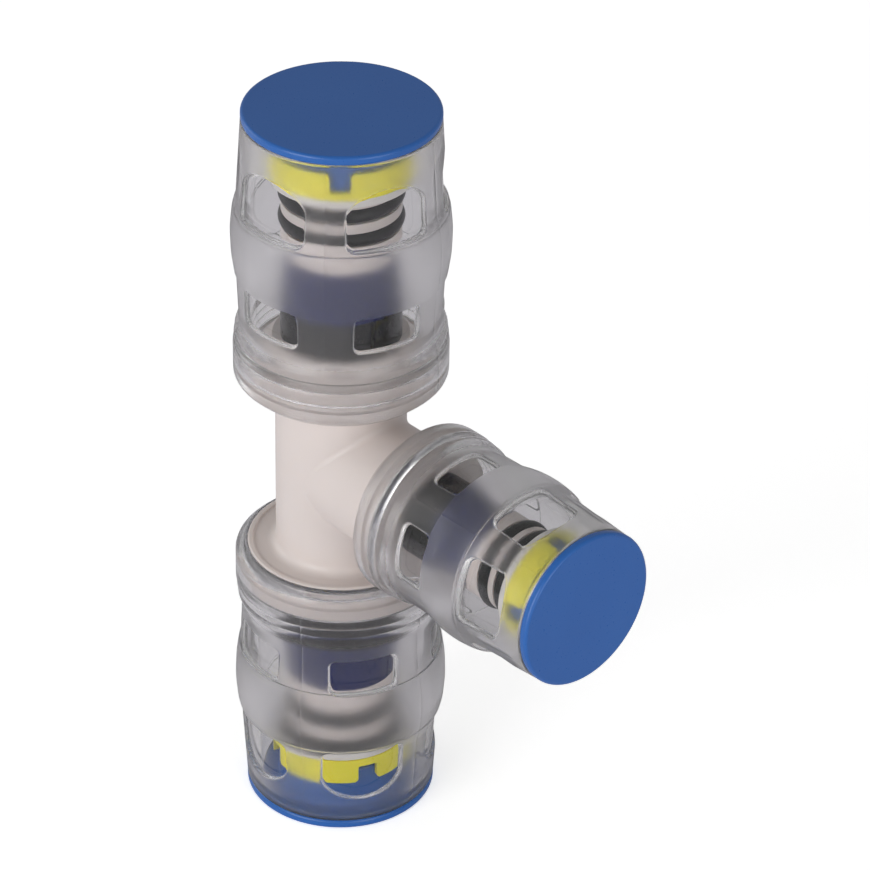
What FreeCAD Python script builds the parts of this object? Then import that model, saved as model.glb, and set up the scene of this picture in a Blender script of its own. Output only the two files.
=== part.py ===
import FreeCAD, Part
import math
import os
from types import SimpleNamespace

# A reducing push-fit tee for multilayer pipe. It stands on the dust cap of its lower socket.
# Z runs up the axis of the run, from the lower cap's face, and the branch points along +X.
# Lengths are in millimetres, angles in degrees.

# Overall layout
neck_length = 25.8           # bare tube between the faces of the two run flanges
neck_radius = 8.8
hub_length = 6.0             # short tube from the neck's surface to the branch flange's face
branch_hub_radius = 8.5
neck_fillet = 1.3            # where the neck grows out of a run flange
hub_fillet = 0.6             # where the hub grows out of the branch flange
crotch_fillet = 0.9          # where the hub meets the neck
chamber_radius = 6.2         # water chamber inside the neck

# Run sockets: distances are measured from the cap's outer face into the fitting
run_pipe_od = 20.0
run_pipe_wall = 2.0
run_mouth_radius = 13.0
run_belt_radius = 14.47
run_valley_radius = 13.47
run_bead_radius = 14.3
run_sleeve_bore = 11.8
run_arch_top = 5.3           # mouth side of the outer windows
run_arch_rise = 3.7
run_outer_window_foot = 13.4
run_belt_end = 23.4          # also the mouth side of the inner windows
run_inner_window_foot = 28.6
run_bead_start = 31.3
run_sleeve_end = 39.9
run_flange_depth = 4.9       # from the flange's inner face to the sleeve's end
run_insert_tip = 5.2
run_skirt_end = 7.3          # how far the cap's plug skirt reaches in
run_indicator_length = 3.8
run_first_o_ring = 11.4
run_second_o_ring = 15.0
run_cord = 2.0
run_shoulder_end = 20.0
run_blue_end = 27.3
run_stop_face = 32.6

# Branch socket, measured the same way
branch_pipe_od = 16.0
branch_pipe_wall = 2.0
branch_mouth_radius = 10.8
branch_belt_radius = 12.2
branch_valley_radius = 11.4
branch_bead_radius = 12.15
branch_sleeve_bore = 9.7
branch_arch_top = 4.6
branch_arch_rise = 1.8
branch_outer_window_foot = 11.9
branch_belt_end = 19.0
branch_inner_window_foot = 23.8
branch_bead_start = 25.7
branch_sleeve_end = 32.6
branch_flange_depth = 3.6
branch_insert_tip = 4.2
branch_skirt_end = 6.5
branch_indicator_length = 3.3
branch_first_o_ring = 9.85
branch_second_o_ring = 12.85
branch_cord = 1.8
branch_shoulder_end = 16.9
branch_blue_end = 23.2
branch_stop_face = 28.7

# Sizes that all three sockets share
cap_thickness = 1.3
cap_edge = 0.45              # rounding of the cap's rim
skirt_wall = 0.7             # plug skirt of the cap
indicator_wall = 0.7
notch_width = 2.65
notch_depth = 2.7
notch_count = 4
notch_corner = 0.45
backing_thickness = 1.2
backing_step = 0.1           # the backing ring is this much smaller than the indicator ring
tip_chamfer = 0.8
tip_lead = 1.2               # length of the chamfer along the axis
passage_wall = 1.25          # insert wall left under an O-ring groove
ring_wall = 1.0              # blue and black rings
slit_width = 0.5             # the split that lets a ring spring onto the insert
groove_side_play = 0.1
pipe_squeeze = 0.25          # an O-ring stands this far above the pipe's inner wall

mouth_wall = 2.0             # sleeve wall at its mouth
mouth_edge = 0.3
taper_loss = 0.8             # the belt's crown stands this far above its foot
belt_foot_lead = 1.1         # the belt starts this far before the outer windows end
belt_drop = 0.5              # crown to the belt's flange side
belt_step = 0.2              # ledge at the belt's end
belt_rise_share = 0.2        # corners of the belt's curve, as shares of its length
belt_crown_share = 0.1
belt_fall_share = 0.2
crown_allowance = 0.03       # the crown's rounding takes this much off
line_groove_offset = 0.5     # fine ring groove just past the outer windows
line_groove_size = 0.15
bead_lead = 0.7              # half the length of the rise to the bead
bead_step = 0.13             # each of the two fine steps on the bead
first_bead_line = 1.7
second_bead_line = 3.0
roll_length = 1.2            # the bead bends in towards the flange over this length
roll_drop = 1.3
window_depth = 0.45
window_corner = 1.0
window_top_corner = 1.0
window_count = 5
outer_window_half_angle = 24.5
inner_window_half_angle = 20.5

flange_inset = 1.65          # sleeve bead radius less flange radius
flange_lip_width = 0.8
flange_lip_height = 0.35
flange_proud = 0.2           # the lip stands this far past the sleeve's end
stop_rim = 1.1               # the stop face is this much wider than the insert
hub_step = 0.5               # the cone behind it clears the sleeve's bore by this
snap_height = 0.35
snap_width = 1.3
snap_from_end = 2.5

# Roundings
hair_round = 0.1
fine_round = 0.2
edge_round = 0.3
soft_round = 2.0             # foot of the belt, and the sleeve's bore
shoulder_round = 3.0
crown_round = 12.0
valley_round = 1.2
bead_foot_round = 0.8
roll_round = 1.0
corner_share = 0.45          # most of an edge that one rounding may take

tool_margin = 1.0            # cutting tools run this far past what they cut
tolerance = 0.01

# Clearances
insert_clearance = 0.1       # insert in the pipe
slide_clearance = 0.08       # cap skirt on the insert, and indicator ring on the skirt
seat_clearance = 0.05        # rings and sleeve on what carries them

# Where each indicator ring was left on its skirt, measured like the socket's own sizes
upper_indicator_start = 4.2
lower_indicator_start = 5.6
branch_indicator_start = 3.8

# Angles about each socket's axis, in its own frame
upper_window_angle = 14.2
lower_window_angle = -27.7
branch_window_angle = -7.0
upper_notch_angle = 42.2
lower_notch_angle = -18.5
branch_notch_angle = 0.0
upper_slit_angle = 11.2
lower_slit_angle = 50.0
branch_slit_angle = -41.0

# Sizes that follow: from cap face to cap face, and from the run's axis to the branch cap's face
run_length = 2 * (run_sleeve_end + flange_proud) + neck_length
branch_reach = neck_radius + hub_length + branch_sleeve_end + flange_proud


def vector(x, y, z):
    return FreeCAD.Vector(x, y, z)


def section_point(radius, depth):
    return vector(radius, 0, depth)


def rounded_edges(corners, point):
    # A closed outline through the corners (a, b, rounding), as straight edges and tangent arcs.
    stops = []
    for index, (a, b, rounding) in enumerate(corners):
        here = point(a, b)
        back = point(*corners[index - 1][:2]) - here
        ahead = point(*corners[(index + 1) % len(corners)][:2]) - here
        if rounding <= 0:
            stops.append((here, None, here))
            continue
        half = back.getAngle(ahead) / 2
        reach = min(rounding / math.tan(half), corner_share * min(back.Length, ahead.Length))
        radius = reach * math.tan(half)
        back.normalize()
        ahead.normalize()
        middle = (back + ahead).normalize() * (radius / math.sin(half) - radius)
        stops.append((here + back * reach, here + middle, here + ahead * reach))
    edges = []
    for index, (entry, middle, leave) in enumerate(stops):
        if middle is not None:
            edges.append(Part.Arc(entry, middle, leave).toShape())
        after = stops[(index + 1) % len(stops)][0]
        if not leave.isEqual(after, tolerance / 1000):
            edges.append(Part.LineSegment(leave, after).toShape())
    return edges


def turned(corners):
    # A solid of revolution about the socket's axis from its (radius, depth, rounding) section.
    section = Part.Face(Part.Wire(rounded_edges(corners, section_point)))
    return section.revolve(vector(0, 0, 0), vector(0, 0, 1), 360)


def ring(inner, outer, start, end, rounding=0.0):
    return turned([
        (inner, start, rounding),
        (outer, start, rounding),
        (outer, end, rounding),
        (inner, end, rounding),
    ])


def spun(shape, angle):
    copy = shape.copy()
    copy.rotate(vector(0, 0, 0), vector(0, 0, 1), angle)
    return copy


def around(shape, count, first_angle):
    return [spun(shape, first_angle + index * 360.0 / count) for index in range(count)]


def make_socket(**sizes):
    # Works out the radii that follow from the pipe and the sleeve.
    s = SimpleNamespace(**sizes)
    s.pipe_radius = s.pipe_od / 2
    s.insert_radius = s.pipe_radius - s.pipe_wall - insert_clearance
    s.o_ring_radius = s.pipe_radius - s.pipe_wall + pipe_squeeze
    s.groove_radius = s.o_ring_radius - s.cord - seat_clearance / 2
    s.bore_radius = s.groove_radius - passage_wall
    s.skirt_inner = s.insert_radius + slide_clearance
    s.skirt_outer = s.skirt_inner + skirt_wall
    s.indicator_inner = s.skirt_outer + slide_clearance
    s.indicator_outer = s.indicator_inner + indicator_wall
    s.ring_seat_radius = s.insert_radius - ring_wall
    s.foot_radius = s.belt_radius - taper_loss
    s.flange_radius = s.bead_radius - flange_inset
    s.flange_face = s.sleeve_end + flange_proud
    s.flange_back = s.sleeve_end - s.flange_depth
    s.hub_radius = s.sleeve_bore - hub_step
    s.snap_middle = s.sleeve_end - snap_from_end
    return s


def insert_corners(s):
    # From the insert's tip to the flange's outer edge, along the outside.
    corners = [
        (s.bore_radius, s.insert_tip, fine_round),
        (s.insert_radius - tip_chamfer, s.insert_tip, edge_round),
        (s.insert_radius, s.insert_tip + tip_lead, edge_round),
    ]
    for middle in (s.first_o_ring, s.second_o_ring):
        half = s.cord / 2 + groove_side_play
        corners += [
            (s.insert_radius, middle - half, hair_round),
            (s.groove_radius, middle - half, fine_round),
            (s.groove_radius, middle + half, fine_round),
            (s.insert_radius, middle + half, hair_round),
        ]
    corners += [
        (s.insert_radius, s.shoulder_end, hair_round),
        (s.ring_seat_radius, s.shoulder_end, 0),
        (s.ring_seat_radius, s.stop_face, 0),
        (s.insert_radius + stop_rim, s.stop_face, fine_round),
        (s.hub_radius, s.flange_back, 0),
        (s.flange_radius, s.flange_back, edge_round),
        (s.flange_radius, s.snap_middle - snap_width / 2, 0),
        (s.flange_radius - snap_height, s.snap_middle - snap_width / 4, fine_round),
        (s.flange_radius - snap_height, s.snap_middle + snap_width / 4, fine_round),
        (s.flange_radius, s.snap_middle + snap_width / 2, 0),
        (s.flange_radius, s.flange_face, edge_round),
        (s.flange_radius - flange_lip_width, s.flange_face, edge_round),
        (s.flange_radius - flange_lip_width, s.flange_face - flange_lip_height, fine_round),
    ]
    return corners


def make_tee_body():
    run_side = insert_corners(run)
    face = run.flange_face - flange_lip_height
    lower = run_side[1:] + [(neck_radius, face, neck_fillet)]
    upper = [(r, run_length - depth, rounding) for r, depth, rounding in reversed(lower)]
    ends = [(0, run_length - run.insert_tip, 0), (0, run.insert_tip, 0)]
    body = turned(lower + upper + ends)

    branch_side = insert_corners(branch)[1:]
    branch_face = branch.flange_face - flange_lip_height
    arm = turned(branch_side + [
        (branch_hub_radius, branch_face, hub_fillet),
        (branch_hub_radius, branch_reach, 0),
        (0, branch_reach, 0),
        (0, branch.insert_tip, 0),
    ])
    body = body.fuse(placed(arm, "branch"))
    body = body.removeSplitter()
    body = rounded_crotch(body)

    run_bore = Part.makeCylinder(run.bore_radius, run_length)
    chamber_start = run.stop_face
    chamber = Part.makeCylinder(
        chamber_radius, run_length - 2 * chamber_start, vector(0, 0, chamber_start)
    )
    branch_bore = Part.makeCylinder(branch.bore_radius, branch_reach)
    for cut in (run_bore, chamber, placed(branch_bore, "branch")):
        body = body.cut(cut)
    return body


def rounded_crotch(body):
    # The seam between the hub and the neck: every point of it lies on both tubes.
    def lies_on(first, second, radius):
        return abs(math.hypot(first, second) - radius) < tolerance

    seam = []
    for edge in body.Edges:
        points = edge.discretize(7)
        on_neck = all(lies_on(p.x, p.y, neck_radius) for p in points)
        on_hub = all(lies_on(p.y, p.z - run_length / 2, branch_hub_radius) for p in points)
        if on_neck and on_hub:
            seam.append(edge)
    return body.makeFillet(crotch_fillet, seam)


def sleeve_corners(s):
    foot = s.outer_window_foot - belt_foot_lead
    crown = (s.outer_window_foot + s.belt_end) / 2
    belt_length = s.belt_end - foot
    first_line = s.bead_start + first_bead_line
    second_line = s.bead_start + second_bead_line
    shelf = s.bead_radius - 2 * bead_step
    outside = [
        (s.mouth_radius, cap_thickness, mouth_edge),
        (s.foot_radius, foot, soft_round),
        (s.belt_radius - belt_drop / 2, foot + belt_rise_share * belt_length, shoulder_round),
        (s.belt_radius + crown_allowance, crown - belt_crown_share * belt_length, crown_round),
        (s.belt_radius - belt_drop / 6, crown + belt_fall_share * belt_length, crown_round),
        (s.belt_radius - belt_drop, s.belt_end, 0),
        (s.belt_radius - belt_drop - belt_step, s.belt_end, 0),
        (s.valley_radius, s.bead_start - bead_lead, valley_round),
        (shelf, s.bead_start + bead_lead, bead_foot_round),
        (shelf, first_line, 0),
        (shelf + bead_step, first_line, 0),
        (shelf + bead_step, second_line, 0),
        (s.bead_radius, second_line, 0),
        (s.bead_radius, s.sleeve_end - roll_length, roll_round),
        (s.bead_radius - roll_drop, s.sleeve_end, edge_round),
    ]
    seat = s.flange_radius + seat_clearance
    snap = seat - snap_height
    middle = s.snap_middle
    bore = s.sleeve_bore
    inside = [
        (seat, s.sleeve_end, hair_round),
        (seat, middle + snap_width / 2, 0),
        (snap, middle + snap_width / 4, fine_round),
        (snap, middle - snap_width / 4, fine_round),
        (seat, middle - snap_width / 2, 0),
        (seat, s.flange_back - seat_clearance, 0),
        (bore, s.flange_back - seat_clearance, 0),
        (bore, s.outer_window_foot, soft_round),
        (s.mouth_radius - mouth_wall, cap_thickness, mouth_edge),
    ]
    return outside + inside


def window_edges(half_width, top, foot, rise, distance):
    # Straight foot with rounded corners, straight sides and an arched or straight top.
    def point(across, depth):
        return vector(distance, across, depth)

    if rise <= 0:
        return rounded_edges([
            (-half_width, top, window_top_corner),
            (-half_width, foot, window_corner),
            (half_width, foot, window_corner),
            (half_width, top, window_top_corner),
        ], point)
    spring = top + rise
    corner = min(window_corner, (foot - spring) / 2)
    lean = corner * math.sin(math.radians(45))
    left = -half_width
    edges = [
        Part.LineSegment(point(left, spring), point(left, foot - corner)),
        Part.Arc(
            point(left, foot - corner),
            point(left + corner - lean, foot - corner + lean),
            point(left + corner, foot),
        ),
        Part.LineSegment(point(left + corner, foot), point(half_width - corner, foot)),
        Part.Arc(
            point(half_width - corner, foot),
            point(half_width - corner + lean, foot - corner + lean),
            point(half_width, foot - corner),
        ),
        Part.LineSegment(point(half_width, foot - corner), point(half_width, spring)),
    ]
    oval = Part.Ellipse(point(half_width, spring), point(0, spring - rise), point(0, spring))
    start = oval.parameter(point(half_width, spring))
    end = oval.parameter(point(left, spring))
    top_edge = Part.ArcOfEllipse(oval, start, end)
    if abs(top_edge.value((start + end) / 2).z - top) > tolerance:
        top_edge = Part.ArcOfEllipse(oval, end, start)
    return [edge.toShape() for edge in edges] + [top_edge.toShape()]


def window_tools(s, half_width, top, foot, rise, floor_start, floor_end):
    # Shallow pockets: the part of a window-shaped bar that lies outside the pocket's floor.
    distance = s.insert_radius
    outer = s.belt_radius + tool_margin
    face = Part.Face(Part.Wire(window_edges(half_width, top, foot, rise, distance)))
    bar = face.extrude(vector(outer - distance, 0, 0))
    (start_depth, start_radius), (end_depth, end_radius) = floor_start, floor_end
    shell = turned([
        (start_radius, start_depth, 0),
        (outer + tool_margin, start_depth, 0),
        (outer + tool_margin, end_depth, 0),
        (end_radius, end_depth, 0),
    ])
    return around(bar.common(shell), window_count, s.window_angle)


def make_sleeve(s):
    sleeve = turned(sleeve_corners(s))
    foot = s.outer_window_foot - belt_foot_lead
    slope = (s.foot_radius - s.mouth_radius) / (foot - cap_thickness)
    outer_end = s.outer_window_foot + tool_margin
    outer_half_width = s.foot_radius * math.sin(math.radians(outer_window_half_angle))
    tools = window_tools(
        s, outer_half_width, s.arch_top, s.outer_window_foot, s.arch_rise,
        (cap_thickness, s.mouth_radius - window_depth),
        (outer_end, s.mouth_radius - window_depth + slope * (outer_end - cap_thickness)),
    )
    inner_half_width = s.valley_radius * math.sin(math.radians(inner_window_half_angle))
    valley_start = s.belt_radius - belt_drop - belt_step - window_depth
    tools += window_tools(
        s, inner_half_width, s.belt_end, s.inner_window_foot, 0,
        (s.belt_end - tool_margin, valley_start),
        (s.bead_start - bead_lead, s.valley_radius - window_depth),
    )
    line_depth = s.outer_window_foot + line_groove_offset
    line_radius = s.belt_radius - belt_drop / 2
    tools.append(ring(
        line_radius - line_groove_size, s.belt_radius + tool_margin,
        line_depth, line_depth + line_groove_size,
    ))
    return sleeve.cut(Part.makeCompound(tools))


def make_dust_cap(s):
    return turned([
        (0, 0, 0),
        (s.mouth_radius, 0, cap_edge),
        (s.mouth_radius, cap_thickness, cap_edge),
        (s.skirt_outer, cap_thickness, edge_round),
        (s.skirt_outer, s.skirt_end, edge_round),
        (s.skirt_inner, s.skirt_end, fine_round),
        (s.skirt_inner, cap_thickness, edge_round),
        (0, cap_thickness, 0),
    ])


def make_indicator_ring(s):
    # The pipe's end pushes this ring along the insert until it shows in the inner windows.
    end = s.indicator_start + s.indicator_length
    whole = ring(s.indicator_inner, s.indicator_outer, s.indicator_start, end, hair_round)
    below = s.indicator_start - tool_margin
    floor = s.indicator_start + notch_depth
    edges = rounded_edges([
        (-notch_width / 2 - notch_corner, below, 0),
        (-notch_width / 2 - notch_corner, s.indicator_start, 0),
        (-notch_width / 2, s.indicator_start + notch_corner, notch_corner),
        (-notch_width / 2, floor, edge_round),
        (notch_width / 2, floor, edge_round),
        (notch_width / 2, s.indicator_start + notch_corner, notch_corner),
        (notch_width / 2 + notch_corner, s.indicator_start, 0),
        (notch_width / 2 + notch_corner, below, 0),
    ], lambda across, depth: vector(s.skirt_inner, across, depth))
    reach = s.indicator_outer + tool_margin - s.skirt_inner
    notch = Part.Face(Part.Wire(edges)).extrude(vector(reach, 0, 0))
    return whole.cut(Part.makeCompound(around(notch, notch_count, s.notch_angle)))


def make_backing_ring(s):
    start = s.indicator_start + s.indicator_length
    return ring(
        s.o_ring_radius + slide_clearance, s.indicator_outer - backing_step,
        start, start + backing_thickness, fine_round,
    )


def make_o_ring(s, middle):
    centre_radius = s.o_ring_radius - s.cord / 2
    return Part.makeTorus(centre_radius, s.cord / 2, vector(0, 0, middle))


def make_split_ring(s, start, end, turn):
    inner = s.ring_seat_radius + seat_clearance
    whole = ring(inner, s.insert_radius, start, end, hair_round)
    slit = Part.makeBox(
        ring_wall + 2 * tool_margin, slit_width, end - start + 2 * tool_margin,
        vector(inner - tool_margin, -slit_width / 2, start - tool_margin),
    )
    return whole.cut(spun(slit, s.slit_angle + turn))


def placed(shape, socket_name):
    # Moves a shape from a socket's own frame (axis Z, into the fitting) to its place in the tee.
    if socket_name == "lower":
        turn, origin = FreeCAD.Rotation(), vector(0, 0, 0)
    elif socket_name == "upper":
        turn, origin = FreeCAD.Rotation(vector(1, 0, 0), 180), vector(0, 0, run_length)
    else:
        turn = FreeCAD.Rotation(vector(0, 0, 1), vector(0, 1, 0), vector(-1, 0, 0), "XYZ")
        origin = vector(branch_reach, 0, run_length / 2)
    moved = shape.copy()
    moved.Placement = FreeCAD.Placement(origin, turn).multiply(moved.Placement)
    return moved


run = make_socket(
    pipe_od=run_pipe_od,
    pipe_wall=run_pipe_wall,
    mouth_radius=run_mouth_radius,
    belt_radius=run_belt_radius,
    valley_radius=run_valley_radius,
    bead_radius=run_bead_radius,
    sleeve_bore=run_sleeve_bore,
    arch_top=run_arch_top,
    arch_rise=run_arch_rise,
    outer_window_foot=run_outer_window_foot,
    belt_end=run_belt_end,
    inner_window_foot=run_inner_window_foot,
    bead_start=run_bead_start,
    sleeve_end=run_sleeve_end,
    flange_depth=run_flange_depth,
    insert_tip=run_insert_tip,
    skirt_end=run_skirt_end,
    indicator_length=run_indicator_length,
    first_o_ring=run_first_o_ring,
    second_o_ring=run_second_o_ring,
    cord=run_cord,
    shoulder_end=run_shoulder_end,
    blue_end=run_blue_end,
    stop_face=run_stop_face,
)
branch = make_socket(
    pipe_od=branch_pipe_od,
    pipe_wall=branch_pipe_wall,
    mouth_radius=branch_mouth_radius,
    belt_radius=branch_belt_radius,
    valley_radius=branch_valley_radius,
    bead_radius=branch_bead_radius,
    sleeve_bore=branch_sleeve_bore,
    arch_top=branch_arch_top,
    arch_rise=branch_arch_rise,
    outer_window_foot=branch_outer_window_foot,
    belt_end=branch_belt_end,
    inner_window_foot=branch_inner_window_foot,
    bead_start=branch_bead_start,
    sleeve_end=branch_sleeve_end,
    flange_depth=branch_flange_depth,
    insert_tip=branch_insert_tip,
    skirt_end=branch_skirt_end,
    indicator_length=branch_indicator_length,
    first_o_ring=branch_first_o_ring,
    second_o_ring=branch_second_o_ring,
    cord=branch_cord,
    shoulder_end=branch_shoulder_end,
    blue_end=branch_blue_end,
    stop_face=branch_stop_face,
)
settings = {
    "upper": (run, upper_indicator_start, upper_window_angle, upper_notch_angle, upper_slit_angle),
    "lower": (run, lower_indicator_start, lower_window_angle, lower_notch_angle, lower_slit_angle),
    "branch": (
        branch, branch_indicator_start, branch_window_angle, branch_notch_angle, branch_slit_angle,
    ),
}

parts = {"tee_body": make_tee_body()}
for name, (sizes, indicator_start, window_angle, notch_angle, slit_angle) in settings.items():
    s = SimpleNamespace(
        **vars(sizes), indicator_start=indicator_start, window_angle=window_angle,
        notch_angle=notch_angle, slit_angle=slit_angle,
    )
    pieces = {
        "sleeve": make_sleeve(s),
        "dust_cap": make_dust_cap(s),
        "indicator_ring": make_indicator_ring(s),
        "backing_ring": make_backing_ring(s),
        "outer_o_ring": make_o_ring(s, s.first_o_ring),
        "inner_o_ring": make_o_ring(s, s.second_o_ring),
        "blue_ring": make_split_ring(s, s.shoulder_end, s.blue_end, 180.0),
        "black_ring": make_split_ring(s, s.blue_end, s.stop_face, 0.0),
    }
    for piece, shape in pieces.items():
        parts[f"{name}_{piece}"] = placed(shape, name)

os.makedirs("parts", exist_ok=True)
for node, shape in parts.items():
    shape.exportStep(os.path.join("parts", node + ".step"))
    print(node, shape.isValid(), len(shape.Solids), round(shape.Volume, 1))
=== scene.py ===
import math

import bpy
import numpy as np
from mathutils import Matrix, Vector


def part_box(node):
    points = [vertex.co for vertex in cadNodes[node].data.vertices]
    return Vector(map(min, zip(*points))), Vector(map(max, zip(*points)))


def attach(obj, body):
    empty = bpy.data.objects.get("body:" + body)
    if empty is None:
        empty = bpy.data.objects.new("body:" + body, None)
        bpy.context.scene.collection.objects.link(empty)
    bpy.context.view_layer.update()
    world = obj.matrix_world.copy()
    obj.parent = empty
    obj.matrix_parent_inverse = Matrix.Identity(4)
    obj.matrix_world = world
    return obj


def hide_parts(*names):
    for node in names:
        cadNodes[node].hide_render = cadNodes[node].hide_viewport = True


# Push-fit tee on its lower dust cap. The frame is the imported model, everything here rides on it.
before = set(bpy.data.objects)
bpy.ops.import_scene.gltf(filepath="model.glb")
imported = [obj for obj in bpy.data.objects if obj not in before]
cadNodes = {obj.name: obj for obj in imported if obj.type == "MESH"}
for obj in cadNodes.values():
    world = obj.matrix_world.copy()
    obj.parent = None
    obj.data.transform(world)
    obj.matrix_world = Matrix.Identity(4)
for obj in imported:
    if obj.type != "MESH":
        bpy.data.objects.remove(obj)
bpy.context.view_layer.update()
scene = bpy.context.scene
mm = 0.001
print("frame loaded,", len(cadNodes), "nodes")

# Where each socket sits: its own Z runs from the cap's face into the fitting
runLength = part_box("upper_dust_cap")[1].z
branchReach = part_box("branch_dust_cap")[1].x
sideways = Matrix(((0, 0, -1, 0), (0, 1, 0, 0), (1, 0, 0, 0), (0, 0, 0, 1)))
socketPlace = {
    "lower": Matrix.Identity(4),
    "upper": Matrix.Translation((0, 0, runLength)) @ Matrix.Rotation(math.pi, 4, "X"),
    "branch": Matrix.Translation((branchReach, 0, runLength / 2)) @ sideways,
}


def screenColour(red, green, blue):
    # a colour as a screen shows it, in the linear values that a shader takes
    linear = []
    for value in (red, green, blue):
        share = value / 255
        linear.append(share / 12.92 if share <= 0.04045 else ((share + 0.055) / 1.055) ** 2.4)
    return (*linear, 1.0)


class ShaderBench:
    # one material being wired up

    def __init__(self, name):
        self.material = bpy.data.materials.new(name)
        self.material.use_nodes = True
        self.tree = self.material.node_tree
        self.tree.nodes.clear()
        self.shader = self.add("ShaderNodeBsdfPrincipled")
        output = self.add("ShaderNodeOutputMaterial")
        self.join(self.shader, "BSDF", output, "Surface")
        self.place = self.add("ShaderNodeTexCoord")

    def add(self, kind, **values):
        node = self.tree.nodes.new(kind)
        for key, value in values.items():
            setattr(node, key, value)
        return node

    def join(self, source, output, target, socket):
        self.tree.links.new(source.outputs[output], target.inputs[socket])

    def noise(self, size, detail=2.0, roughness=0.5):
        # size is the width of one blotch in metres
        node = self.add("ShaderNodeTexNoise")
        node.inputs["Scale"].default_value = 1 / size
        node.inputs["Detail"].default_value = detail
        node.inputs["Roughness"].default_value = roughness
        self.join(self.place, "Object", node, "Vector")
        return node

    def spread(self, source, output, low, high, fromLow=0.3, fromHigh=0.7):
        node = self.add("ShaderNodeMapRange")
        node.inputs["From Min"].default_value = fromLow
        node.inputs["From Max"].default_value = fromHigh
        node.inputs["To Min"].default_value = low
        node.inputs["To Max"].default_value = high
        self.join(source, output, node, "Value")
        return node

    def tint(self, source, output, first, second):
        node = self.add("ShaderNodeMix", data_type="RGBA")
        node.inputs[6].default_value = first
        node.inputs[7].default_value = second
        self.join(source, output, node, "Factor")
        return node

    def bump(self, source, output, strength, depth):
        node = self.add("ShaderNodeBump")
        node.inputs["Strength"].default_value = strength
        node.inputs["Distance"].default_value = depth
        self.join(source, output, node, "Height")
        self.join(node, "Normal", self.shader, "Normal")


mouldedFinish = {"glossSpread": 0.15, "glowTint": (1.0, 0.8, 0.6)}  # shared by all opaque pieces


def mouldedPlastic(name, look):
    # opaque moulded plastic or rubber: a slow drift of tone, and a fine skin
    bench = ShaderBench(name)
    drift = bench.noise(look["driftSize"] * mm)
    tone = bench.tint(drift, "Fac", look["colour"], look["deepColour"])
    bench.join(tone, 2, bench.shader, "Base Color")
    skin = bench.noise(look["skinSize"] * mm, detail=3.0)
    low, high = 1 - mouldedFinish["glossSpread"], 1 + mouldedFinish["glossSpread"]
    gloss = bench.spread(skin, "Fac", look["roughness"] * low, look["roughness"] * high)
    bench.join(gloss, "Result", bench.shader, "Roughness")
    bench.bump(skin, "Fac", look["skinStrength"], look["skinDepth"] * mm)
    bench.shader.inputs["IOR"].default_value = look["ior"]
    if look.get("depthGlow"):
        bench.shader.inputs["Subsurface Weight"].default_value = look["depthGlow"]
        bench.shader.inputs["Subsurface Radius"].default_value = mouldedFinish["glowTint"]
        bench.shader.inputs["Subsurface Scale"].default_value = look["glowReach"] * mm
    return bench.material


def dress(names, material):
    # gives carried-over nodes their finish
    for name in names:
        mesh = cadNodes[name].data
        mesh.materials.clear()
        mesh.materials.append(material)


def everySocket(piece):
    return [f"{socket}_{piece}" for socket in socketPlace]


bodyCream = {
    "colour": screenColour(222, 213, 209), "deepColour": screenColour(214, 204, 199),
    "driftSize": 14, "roughness": 0.38, "skinSize": 0.35, "skinStrength": 0.15, "skinDepth": 0.02,
    "ior": 1.5, "depthGlow": 0.15, "glowReach": 0.6,
}
capBlue = {
    "colour": screenColour(36, 98, 174), "deepColour": screenColour(32, 92, 168),
    "driftSize": 9, "roughness": 0.32, "skinSize": 0.25, "skinStrength": 0.25, "skinDepth": 0.01,
    "ior": 1.5,
}
indicatorYellow = {
    "colour": screenColour(255, 244, 44), "deepColour": screenColour(252, 238, 38),
    "driftSize": 3, "roughness": 0.3, "skinSize": 0.3, "skinStrength": 0.1, "skinDepth": 0.01,
    "ior": 1.5, "depthGlow": 0.1, "glowReach": 0.5,
}
ringWhite = {
    "colour": screenColour(238, 234, 230), "deepColour": screenColour(230, 226, 222),
    "driftSize": 4, "roughness": 0.35, "skinSize": 0.3, "skinStrength": 0.1, "skinDepth": 0.01,
    "ior": 1.5,
}
# the blue ring is the cap's blue plastic; this darker navy is painted shade of the sleeve's interior
ringBlueWithPaintedShade = {
    "colour": screenColour(10, 26, 88), "deepColour": screenColour(8, 21, 80),
    "driftSize": 4, "roughness": 0.3, "skinSize": 0.5, "skinStrength": 0.08, "skinDepth": 0.01,
    "ior": 1.35,
}
ringBlack = {
    "colour": screenColour(7, 7, 9), "deepColour": screenColour(5, 5, 7),
    "driftSize": 4, "roughness": 0.3, "skinSize": 0.5, "skinStrength": 0.08, "skinDepth": 0.01,
    "ior": 1.32,
}
sealBlack = {
    "colour": screenColour(14, 14, 15), "deepColour": screenColour(9, 9, 10),
    "driftSize": 2, "roughness": 0.35, "skinSize": 0.2, "skinStrength": 0.2, "skinDepth": 0.01,
    "ior": 1.3,
}

dress(["tee_body"], mouldedPlastic("bodyCream", bodyCream))
dress(everySocket("dust_cap"), mouldedPlastic("capBlue", capBlue))
dress(everySocket("indicator_ring"), mouldedPlastic("indicatorYellow", indicatorYellow))
dress(everySocket("backing_ring"), mouldedPlastic("ringWhite", ringWhite))
dress(everySocket("blue_ring"), mouldedPlastic("ringBlueWithPaintedShade", ringBlueWithPaintedShade))
dress(everySocket("black_ring"), mouldedPlastic("ringBlack", ringBlack))
seals = everySocket("outer_o_ring") + everySocket("inner_o_ring")
dress(seals, mouldedPlastic("sealBlack", sealBlack))
print("carried-over nodes dressed")
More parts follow.
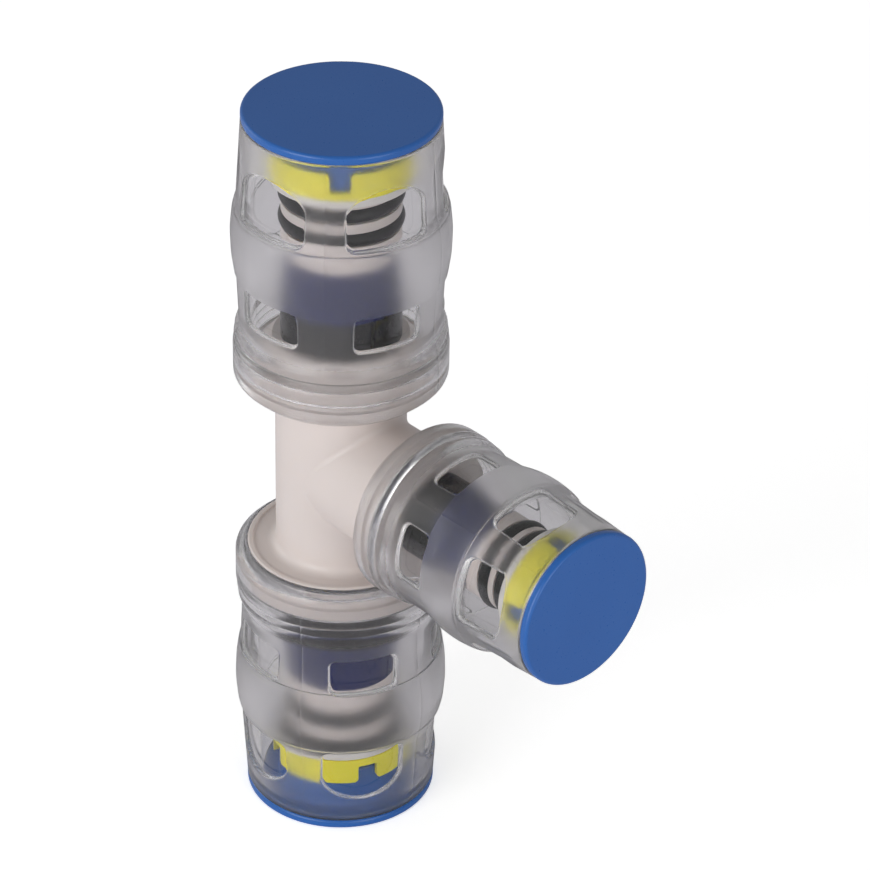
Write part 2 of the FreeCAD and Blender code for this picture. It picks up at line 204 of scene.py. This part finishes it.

# Clear sleeves, in millimetres and degrees, with depths from the cap's face. Walls, steps and windows
# keep the solids' sizes. Line depths, parting lines, soft edges and polish are added for the looks.
# the rim value whitens the windows' rims as a painted highlight
sleeveLook = {
    "frostRoughness": 0.31, "frostTint": (1.0, 0.99, 1.0, 1), "frostGrain": 0.8, "frostHaze": 0.03,
    "clearRoughness": 0.03, "clearTint": (1.0, 1.0, 1.0, 1), "clearHaze": 0.0, "rimPaintedHighlight": 0.45,
    "grainSpread": 0.04, "ior": 1.45,
}
sleeveShape = {
    "capThickness": 1.3, "mouthEdge": 0.3, "mouthWall": 2.0, "taperLoss": 0.8, "beltFootLead": 1.1,
    "beltDrop": 0.5, "beltStep": 0.2, "beltRise": 0.2, "beltCrown": 0.1, "beltFall": 0.2,
    "crownAllowance": 0.03, "softRound": 2.0, "shoulderRound": 3.0, "crownRound": 12.0,
    "lineOffset": 0.5, "lineSize": 0.15, "beadLead": 0.7, "beadStep": 0.13, "firstBeadLine": 1.7,
    "secondBeadLine": 3.0, "valleyRound": 1.2, "beadFootRound": 0.8, "rollLength": 1.2,
    "rollDrop": 1.3, "rollRound": 1.0, "rimRound": 0.3, "lineDepth": 0.09,
    "flangeInset": 1.65, "seatClearance": 0.05, "snapHeight": 0.35,
    "snapWidth": 1.3, "snapFromEnd": 2.5, "beadGroove": 0.12,
    "windowDepth": 0.45, "windowCorner": 1.0, "windowTopCorner": 1.0, "windowEdge": 0.3,
    "windowCount": 5, "outerHalfAngle": 24.5, "innerHalfAngle": 20.5, "partingHeight": 0.025,
    "patchLength": 3.4, "innerPolish": 0.55, "beadPolish": 0.4, "beadPolishLead": 1.6,
    "hairRound": 0.1, "fineRound": 0.2, "ledgeRound": 0.05, "stepRound": 0.03,
    "partingTurn": 0.004,  # half the parting line's width, in radians
    "partingStart": 1.0,
}
sleeveMesh = {
    "rowStep": 0.14, "rowGap": 0.9, "innerRowStep": 0.2, "innerRowGap": 1.0, "leastRow": 0.005,
    "arcTurn": 12.0, "cornerShare": 0.45,
    "columns": [(0.0, 16.0, 8), (16.0, 26.5, 17), (26.5, 35.7, 4), (35.7, 36.0, 2)],  # degrees, steps
}
runSizes = {
    "mouth": 13.0, "belt": 14.47, "valley": 13.47, "bead": 14.3, "bore": 11.8, "archTop": 5.3,
    "archRise": 3.7, "outerFoot": 13.4, "beltEnd": 23.4, "innerFoot": 28.6, "beadStart": 31.3,
    "end": 39.9, "flangeDepth": 4.9,
}
branchSizes = {
    "mouth": 10.8, "belt": 12.2, "valley": 11.4, "bead": 12.15, "bore": 9.7, "archTop": 4.6,
    "archRise": 1.8, "outerFoot": 11.9, "beltEnd": 19.0, "innerFoot": 23.8, "beadStart": 25.7,
    "end": 32.6, "flangeDepth": 3.6,
}
windowAngles = {"upper": 14.2, "lower": -27.7, "branch": -7.0}


def roundedLine(corners):
    # points along a line through (radius, depth, rounding) corners, each corner eased by an arc
    points = []
    for index, (radius, depth, rounding) in enumerate(corners):
        here = Vector((radius, depth))
        if rounding <= 0 or index == 0 or index == len(corners) - 1:
            points.append(here)
            continue
        back = Vector(corners[index - 1][:2]) - here
        ahead = Vector(corners[index + 1][:2]) - here
        half = back.angle(ahead) / 2
        room = sleeveMesh["cornerShare"] * min(back.length, ahead.length)
        reach = min(rounding / math.tan(half), room)
        bend = reach * math.tan(half)
        back.normalize()
        ahead.normalize()
        centre = here + (back + ahead).normalized() * (bend / math.sin(half))
        start = here + back * reach - centre
        turn = (math.pi - 2 * half) * (1 if start.cross(here - centre) > 0 else -1)
        steps = max(2, math.ceil(math.degrees(abs(turn)) / sleeveMesh["arcTurn"]))
        for step in range(steps + 1):
            angle = turn * step / steps
            turned = Vector((
                start.x * math.cos(angle) - start.y * math.sin(angle),
                start.x * math.sin(angle) + start.y * math.cos(angle),
            ))
            points.append(centre + turned)
    return points


def sleeveOutside(size, shape):
    foot = size["outerFoot"] - shape["beltFootLead"]
    crown = (size["outerFoot"] + size["beltEnd"]) / 2
    length = size["beltEnd"] - foot
    drop = shape["beltDrop"]
    lowEnd = size["belt"] - drop - shape["beltStep"]
    firstLine = size["beadStart"] + shape["firstBeadLine"]
    secondLine = size["beadStart"] + shape["secondBeadLine"]
    shelf = size["bead"] - 2 * shape["beadStep"]
    rise, fall = shape["beltRise"] * length, shape["beltFall"] * length
    ledge, step = shape["ledgeRound"], shape["stepRound"]
    return [
        (size["mouth"] - shape["mouthWall"] / 2, shape["capThickness"], 0),
        (size["mouth"], shape["capThickness"], shape["mouthEdge"]),
        (size["belt"] - shape["taperLoss"], foot, shape["softRound"]),
        (size["belt"] - drop / 2, foot + rise, shape["shoulderRound"]),
        (
            size["belt"] + shape["crownAllowance"], crown - shape["beltCrown"] * length,
            shape["crownRound"],
        ),
        (size["belt"] - drop / 6, crown + fall, shape["crownRound"]),
        (size["belt"] - drop, size["beltEnd"], ledge),
        (lowEnd, size["beltEnd"], ledge),
        (size["valley"], size["beadStart"] - shape["beadLead"], shape["valleyRound"]),
        (shelf, size["beadStart"] + shape["beadLead"], shape["beadFootRound"]),
        (shelf, firstLine, step),
        (shelf + shape["beadStep"], firstLine, step),
        (shelf + shape["beadStep"], secondLine, step),
        (size["bead"], secondLine, step),
        (size["bead"], size["end"] - shape["rollLength"], shape["rollRound"]),
        (size["bead"] - shape["rollDrop"], size["end"], shape["rimRound"]),
        (size["bead"] - shape["flangeInset"] + shape["seatClearance"], size["end"], shape["hairRound"]),
    ]


def sleeveInside(size, shape):
    seat = size["bead"] - shape["flangeInset"] + shape["seatClearance"]
    snap = seat - shape["snapHeight"]
    middle = size["end"] - shape["snapFromEnd"]
    width = shape["snapWidth"]
    back = size["end"] - size["flangeDepth"] - shape["seatClearance"]
    hair, fine = shape["hairRound"], shape["fineRound"]
    return [
        (seat, size["end"], hair),
        (seat, middle + width / 2, hair),
        (snap, middle + width / 4, fine),
        (snap, middle - width / 4, fine),
        (seat, middle - width / 2, hair),
        (seat, back, hair),
        (size["bore"], back, hair),
        (size["bore"], size["outerFoot"], shape["softRound"]),
        (size["mouth"] - shape["mouthWall"], shape["capThickness"], shape["mouthEdge"]),
        (size["mouth"] - shape["mouthWall"] / 2, shape["capThickness"], 0),
    ]


def finerRows(points, fineSpans, fineStep, coarseStep):
    # adds rows where a window's edge or a fine line crosses them, and fewer elsewhere
    least = sleeveMesh["leastRow"]
    rows = [points[0]]
    for before, after in zip(points, points[1:]):
        fall = after.y - before.y
        length = (after - before).length
        cuts = [0.0, 1.0]
        if abs(fall) > least:
            cuts += [(depth - before.y) / fall for span in fineSpans for depth in span]
        cuts = sorted(cut for cut in cuts if 0 <= cut <= 1)
        reached = 0.0
        for cut in cuts:
            if (cut - reached) * length < least and cut < 1:
                continue
            middle = before.y + fall * (reached + cut) / 2
            fine = any(start < middle < end for start, end in fineSpans)
            wanted = fineStep if fine else coarseStep
            steps = max(1, math.ceil((cut - reached) * length / wanted))
            if cut > reached:
                rows += [
                    before.lerp(after, reached + (cut - reached) * step / steps)
                    for step in range(1, steps + 1)
                ]
            reached = cut
    return rows


def windowDistance(across, depth, width, top, foot, rise, footCorner, topCorner):
    # how far inside a window's outline a point of the wall lies, negative outside
    tiny = 1e-6
    side = width - np.abs(across)
    toFoot = foot - depth
    inside = np.minimum(side, toFoot)
    corner = (side < footCorner) & (toFoot < footCorner)
    rounded = footCorner - np.hypot(footCorner - side, footCorner - toFoot)
    inside = np.where(corner, rounded, inside)
    if rise > 0:
        lift = np.maximum(top + rise - depth, 0) / rise
        reach = np.hypot(across / width, lift)
        slope = np.hypot(across / width**2, lift / rise) / np.maximum(reach, tiny)
        arch = (1 - reach) / np.maximum(slope, tiny)
        return np.where(lift > 0, np.minimum(inside, arch), inside)
    toTop = depth - top
    corner = (side < topCorner) & (toTop < topCorner)
    rounded = topCorner - np.hypot(topCorner - side, topCorner - toTop)
    return np.where(corner, np.minimum(inside, rounded), np.minimum(inside, toTop))


def softStep(distance, width):
    share = np.clip(distance / width + 0.5, 0, 1)
    return share * share * (3 - 2 * share)


def sectorAngles(shape):
    # one window's share of the turn, in degrees from its middle, finer where the windows' edges run
    half = []
    for start, end, count in sleeveMesh["columns"]:
        half += [start + (end - start) * step / count for step in range(count)]
    half.append(end)
    scale = 180 / shape["windowCount"] / end
    return [-angle * scale for angle in reversed(half[1:])] + [angle * scale for angle in half[:-1]]


def rowGrid(rows, columns):
    # the radius and the depth of every point, one line of the grid for each row
    wide = np.ones(columns)
    radius = np.array([row.x for row in rows])[:, None] * wide
    depth = np.array([row.y for row in rows])[:, None] * wide
    return radius, depth


def windowMasks(size, shape, radius, depth, offset, innerFoot):
    # 1 inside the outer and the inner windows, 0 outside, with a soft edge
    footRadius = size["belt"] - shape["taperLoss"]
    outerWidth = footRadius * math.sin(math.radians(shape["outerHalfAngle"]))
    innerWidth = size["valley"] * math.sin(math.radians(shape["innerHalfAngle"]))
    across = radius * np.sin(offset)
    corner = shape["windowCorner"]
    outer = windowDistance(
        across, depth, outerWidth, size["archTop"], size["outerFoot"], size["archRise"], corner, 0,
    )
    inner = windowDistance(
        across, depth, innerWidth, size["beltEnd"], innerFoot, 0, corner, shape["windowTopCorner"],
    )
    return softStep(outer, shape["windowEdge"]), softStep(inner, shape["windowEdge"])


def windowFloors(size, shape, depth):
    # the radius of the windows' floors at each depth
    beltFoot = size["outerFoot"] - shape["beltFootLead"]
    footRadius = size["belt"] - shape["taperLoss"]
    slope = (footRadius - size["mouth"]) / (beltFoot - shape["capThickness"])
    outerFloor = size["mouth"] - shape["windowDepth"] + slope * (depth - shape["capThickness"])
    valleyTop = size["belt"] - shape["beltDrop"] - shape["beltStep"] - shape["windowDepth"]
    valleyEnd = size["beadStart"] - shape["beadLead"]
    fall = (size["valley"] - shape["windowDepth"] - valleyTop) / (valleyEnd - size["beltEnd"])
    return outerFloor, valleyTop + fall * (depth - size["beltEnd"])


def ringFaces(rows, columns):
    # four-sided faces between neighbouring rows and columns, closed both ways round
    row, column = np.meshgrid(np.arange(rows), np.arange(columns), indexing="ij")
    nextRow, nextColumn = (row + 1) % rows, (column + 1) % columns
    return np.stack([
        row * columns + column, row * columns + nextColumn,
        nextRow * columns + nextColumn, nextRow * columns + column,
    ], axis=-1).reshape(-1, 4)


def buildSleeve(socket, size, shape, material):
    edge = shape["windowEdge"]
    line = size["outerFoot"] + shape["lineOffset"]
    patchFoot = size["innerFoot"] + shape["patchLength"]
    spans = [
        (size["archTop"] - edge, size["archTop"] + size["archRise"] + edge),
        (size["outerFoot"] - shape["windowCorner"] - edge, size["outerFoot"] + edge),
        (size["beltEnd"] - edge, size["beltEnd"] + 2 * edge),
    ]
    footSpan = (size["innerFoot"] - shape["windowCorner"] - edge, size["innerFoot"] + edge)
    patchSpan = (patchFoot - shape["windowCorner"] - edge, patchFoot + edge)
    beadLines = (
        size["beadStart"] + shape["firstBeadLine"], size["beadStart"] + shape["secondBeadLine"],
    )
    lineSpans = []
    for at in (line, *beadLines):
        lineSpans += [(at - shape["lineSize"], at), (at, at + shape["lineSize"])]
    outerRows = finerRows(
        roundedLine(sleeveOutside(size, shape)), spans + [footSpan] + lineSpans,
        sleeveMesh["rowStep"], sleeveMesh["rowGap"],
    )
    innerRows = finerRows(
        roundedLine(sleeveInside(size, shape)), spans + [patchSpan],
        sleeveMesh["innerRowStep"], sleeveMesh["innerRowGap"],
    )[1:-1]
    angles = []
    for sector in range(shape["windowCount"]):
        middle = windowAngles[socket] + sector * 360 / shape["windowCount"]
        angles += [(middle + offset, offset) for offset in sectorAngles(shape)]
    turn = np.radians([angle for angle, offset in angles])
    offset = np.radians([offset for angle, offset in angles])

    # The outside: window pockets and fine lines are cut into the wall, and parting lines stand on it
    radius, depth = rowGrid(outerRows, len(turn))
    outerMask, innerMask = windowMasks(size, shape, radius, depth, offset, size["innerFoot"])
    outerFloor, innerFloor = windowFloors(size, shape, depth)
    radius += outerMask * np.minimum(outerFloor - radius, 0)
    radius += innerMask * np.minimum(innerFloor - radius, 0)
    toParting = math.radians(180 / shape["windowCount"]) - np.abs(offset)
    parting = np.clip(1 - toParting / shape["partingTurn"], 0, 1)
    wallStart = shape["capThickness"] + shape["partingStart"]
    onWall = (depth > wallStart) & (depth < size["end"] - 2 * shape["rollLength"])
    radius += parting * onWall * shape["partingHeight"]
    grooves = [(line, shape["lineDepth"])] + [(at, shape["beadGroove"]) for at in beadLines]
    for at, deep in grooves:
        radius -= deep * np.clip(1 - np.abs(depth - at) / shape["lineSize"], 0, 1)
    polish = np.maximum(outerMask, innerMask)
    # rim peaks along the windows' soft edges, where the shader paints a highlight
    rim = 1 - np.abs(2 * polish - 1)
    onBead = softStep(depth - size["beadStart"], shape["beadPolishLead"])
    polish = np.maximum(polish, onBead * shape["beadPolish"])

    # The inside is plain, and only its polish follows the windows
    innerRadius, innerDepth = rowGrid(innerRows, len(turn))
    innerPolish = np.maximum(*windowMasks(size, shape, innerRadius, innerDepth, offset, patchFoot))
    polish = np.vstack([polish, np.maximum(innerPolish, shape["innerPolish"])])
    rim = np.vstack([rim, np.zeros_like(innerRadius)])
    radius = np.vstack([radius, innerRadius])
    depth = np.vstack([depth, innerDepth])

    local = np.stack([radius * np.cos(turn), radius * np.sin(turn), depth], axis=-1) * mm
    place = np.array(socketPlace[socket])
    points = local.reshape(-1, 3) @ place[:3, :3].T + place[:3, 3]
    faces = ringFaces(*radius.shape)
    mesh = bpy.data.meshes.new(f"{socket}ClearSleeve")
    mesh.from_pydata(points.tolist(), [], faces.tolist())
    mesh.shade_smooth()
    for markName, values in (("polish", polish), ("rim", rim)):
        mark = mesh.attributes.new(markName, "FLOAT", "POINT")
        mark.data.foreach_set("value", values.astype(np.float32).ravel())
    mesh.materials.append(material)
    piece = bpy.data.objects.new(f"{socket}ClearSleeve", mesh)
    scene.collection.objects.link(piece)
    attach(piece, "fitting")
    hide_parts(f"{socket}_sleeve")
    print(socket, "sleeve:", len(faces) * 2, "triangles")


def clearPlastic(name, look):
    # polished where the polish mark is 1, frosted where it is 0, and whiter on the windows' rims: less
    # transmission there lets the white base colour show, a painted highlight standing in for the glint
    # of the windows' clear side walls
    bench = ShaderBench(name)
    mark = bench.add("ShaderNodeAttribute", attribute_name="polish")
    tone = bench.tint(mark, "Fac", look["frostTint"], look["clearTint"])
    bench.join(tone, 2, bench.shader, "Base Color")
    grain = bench.noise(look["frostGrain"] * mm, detail=2.0)
    low, high = 1 - look["grainSpread"], 1 + look["grainSpread"]
    frost = bench.spread(grain, "Fac", look["frostRoughness"] * low, look["frostRoughness"] * high)
    gloss = bench.add("ShaderNodeMix", data_type="FLOAT")
    bench.join(mark, "Fac", gloss, "Factor")
    bench.tree.links.new(frost.outputs["Result"], gloss.inputs[2])
    gloss.inputs[3].default_value = look["clearRoughness"]
    bench.tree.links.new(gloss.outputs[0], bench.shader.inputs["Roughness"])
    through = bench.spread(mark, "Fac", 1 - look["frostHaze"], 1 - look["clearHaze"], 0.0, 1.0)
    # painted highlight: the rim mark takes transmission away, so the windows' rims show white
    rim = bench.add("ShaderNodeAttribute", attribute_name="rim")
    rimShare = bench.spread(rim, "Fac", 1.0, 1 - look["rimPaintedHighlight"], 0.0, 1.0)
    both = bench.add("ShaderNodeMath", operation="MULTIPLY")
    bench.tree.links.new(through.outputs["Result"], both.inputs[0])
    bench.tree.links.new(rimShare.outputs["Result"], both.inputs[1])
    bench.join(both, "Value", bench.shader, "Transmission Weight")
    bench.shader.inputs["IOR"].default_value = look["ior"]
    return bench.material


sleeveMaterial = clearPlastic("sleeveClear", sleeveLook)
for socket in socketPlace:
    sizes = branchSizes if socket == "branch" else runSizes
    buildSleeve(socket, sizes, sleeveShape, sleeveMaterial)
print("sleeves built")

# Camera: where the photograph was taken from, in millimetres and degrees
cameraSet = {
    "distance": 492.6, "height": 374.8, "side": 48.76, "pitch": 32.87, "yaw": 1.46, "roll": 0.899,
    "lens": 181.6, "sensor": 36.0, "clipNear": 10, "clipFar": 20000,
}


def placeCamera(setup):
    side = math.radians(setup["side"])
    heading = side - math.radians(setup["yaw"])
    pitch = math.radians(setup["pitch"])
    roll = math.radians(setup["roll"])
    forward = Vector((
        -math.sin(heading) * math.cos(pitch), math.cos(heading) * math.cos(pitch), -math.sin(pitch),
    ))
    right = Vector((math.cos(heading), math.sin(heading), 0))
    above = right.cross(forward)
    rightRolled = right * math.cos(roll) + above * math.sin(roll)
    aboveRolled = above * math.cos(roll) - right * math.sin(roll)
    data = bpy.data.cameras.new("photoCamera")
    data.lens = setup["lens"]
    data.sensor_width = setup["sensor"]
    data.clip_start = setup["clipNear"] * mm
    data.clip_end = setup["clipFar"] * mm
    camera = bpy.data.objects.new("photoCamera", data)
    turn = Matrix((rightRolled, aboveRolled, -forward)).transposed()
    spot = Vector((
        math.sin(side) * setup["distance"], -math.cos(side) * setup["distance"], setup["height"],
    )) * mm
    camera.matrix_world = Matrix.Translation(spot) @ turn.to_4x4()
    scene.collection.objects.link(camera)
    scene.camera = camera


placeCamera(cameraSet)

# Floor and lights, in metres and watts
studio = {
    "floorSize": 3.0, "seenColour": (0.9, 0.9, 0.9, 1), "seenGlow": 0.55,
    "castColour": (0.9, 0.88, 0.92, 1),  # what the sleeves see of the floor
    "floorRoughness": 0.9, "surround": 0.37,
}
lights = [
    {"name": "leftSide", "spot": (0.1, -0.9, 0.3), "aim": (0, 0, 0.05), "size": 0.6, "power": 4.5},
    {"name": "farLeft", "spot": (-0.75, -0.35, 0.2), "aim": (0, 0, 0.05), "size": 0.6, "power": 1.3},
    {"name": "rightSide", "spot": (0.8, -0.1, 0.2), "aim": (0, 0, 0.05), "size": 0.5, "power": 1.9},
]


def layFloor(setup):
    mesh = bpy.data.meshes.new("paleFloor")
    half = setup["floorSize"] / 2
    corners = [(-half, -half, 0), (half, -half, 0), (half, half, 0), (-half, half, 0)]
    mesh.from_pydata(corners, [], [(0, 1, 2, 3)])
    bench = ShaderBench("paleFloor")
    path = bench.add("ShaderNodeLightPath")
    tone = bench.tint(path, "Is Camera Ray", setup["castColour"], setup["seenColour"])
    bench.join(tone, 2, bench.shader, "Base Color")
    glow = bench.spread(path, "Is Camera Ray", 0.0, setup["seenGlow"], 0.0, 1.0)
    bench.join(glow, "Result", bench.shader, "Emission Strength")
    bench.shader.inputs["Emission Color"].default_value = (1, 1, 1, 1)
    bench.shader.inputs["Roughness"].default_value = setup["floorRoughness"]
    mesh.materials.append(bench.material)
    floor = bpy.data.objects.new("paleFloor", mesh)
    scene.collection.objects.link(floor)


def setWorld(setup):
    world = bpy.data.worlds.new("studioAir")
    world.use_nodes = True
    tree = world.node_tree
    tree.nodes.clear()
    air = tree.nodes.new("ShaderNodeBackground")
    air.inputs["Color"].default_value = (1, 1, 1, 1)
    air.inputs["Strength"].default_value = setup["surround"]
    output = tree.nodes.new("ShaderNodeOutputWorld")
    tree.links.new(air.outputs["Background"], output.inputs["Surface"])
    scene.world = world


def hangLight(setup):
    data = bpy.data.lights.new(setup["name"], "AREA")
    data.shape = "SQUARE"
    data.size = setup["size"]
    data.energy = setup["power"]
    light = bpy.data.objects.new(setup["name"], data)
    light.location = setup["spot"]
    aim = Vector(setup["aim"]) - Vector(setup["spot"])
    light.rotation_euler = aim.to_track_quat("-Z", "Y").to_euler()
    scene.collection.objects.link(light)


layFloor(studio)
setWorld(studio)
for light in lights:
    hangLight(light)
scene.view_settings.view_transform = "Standard"
print("camera, floor and lights set")
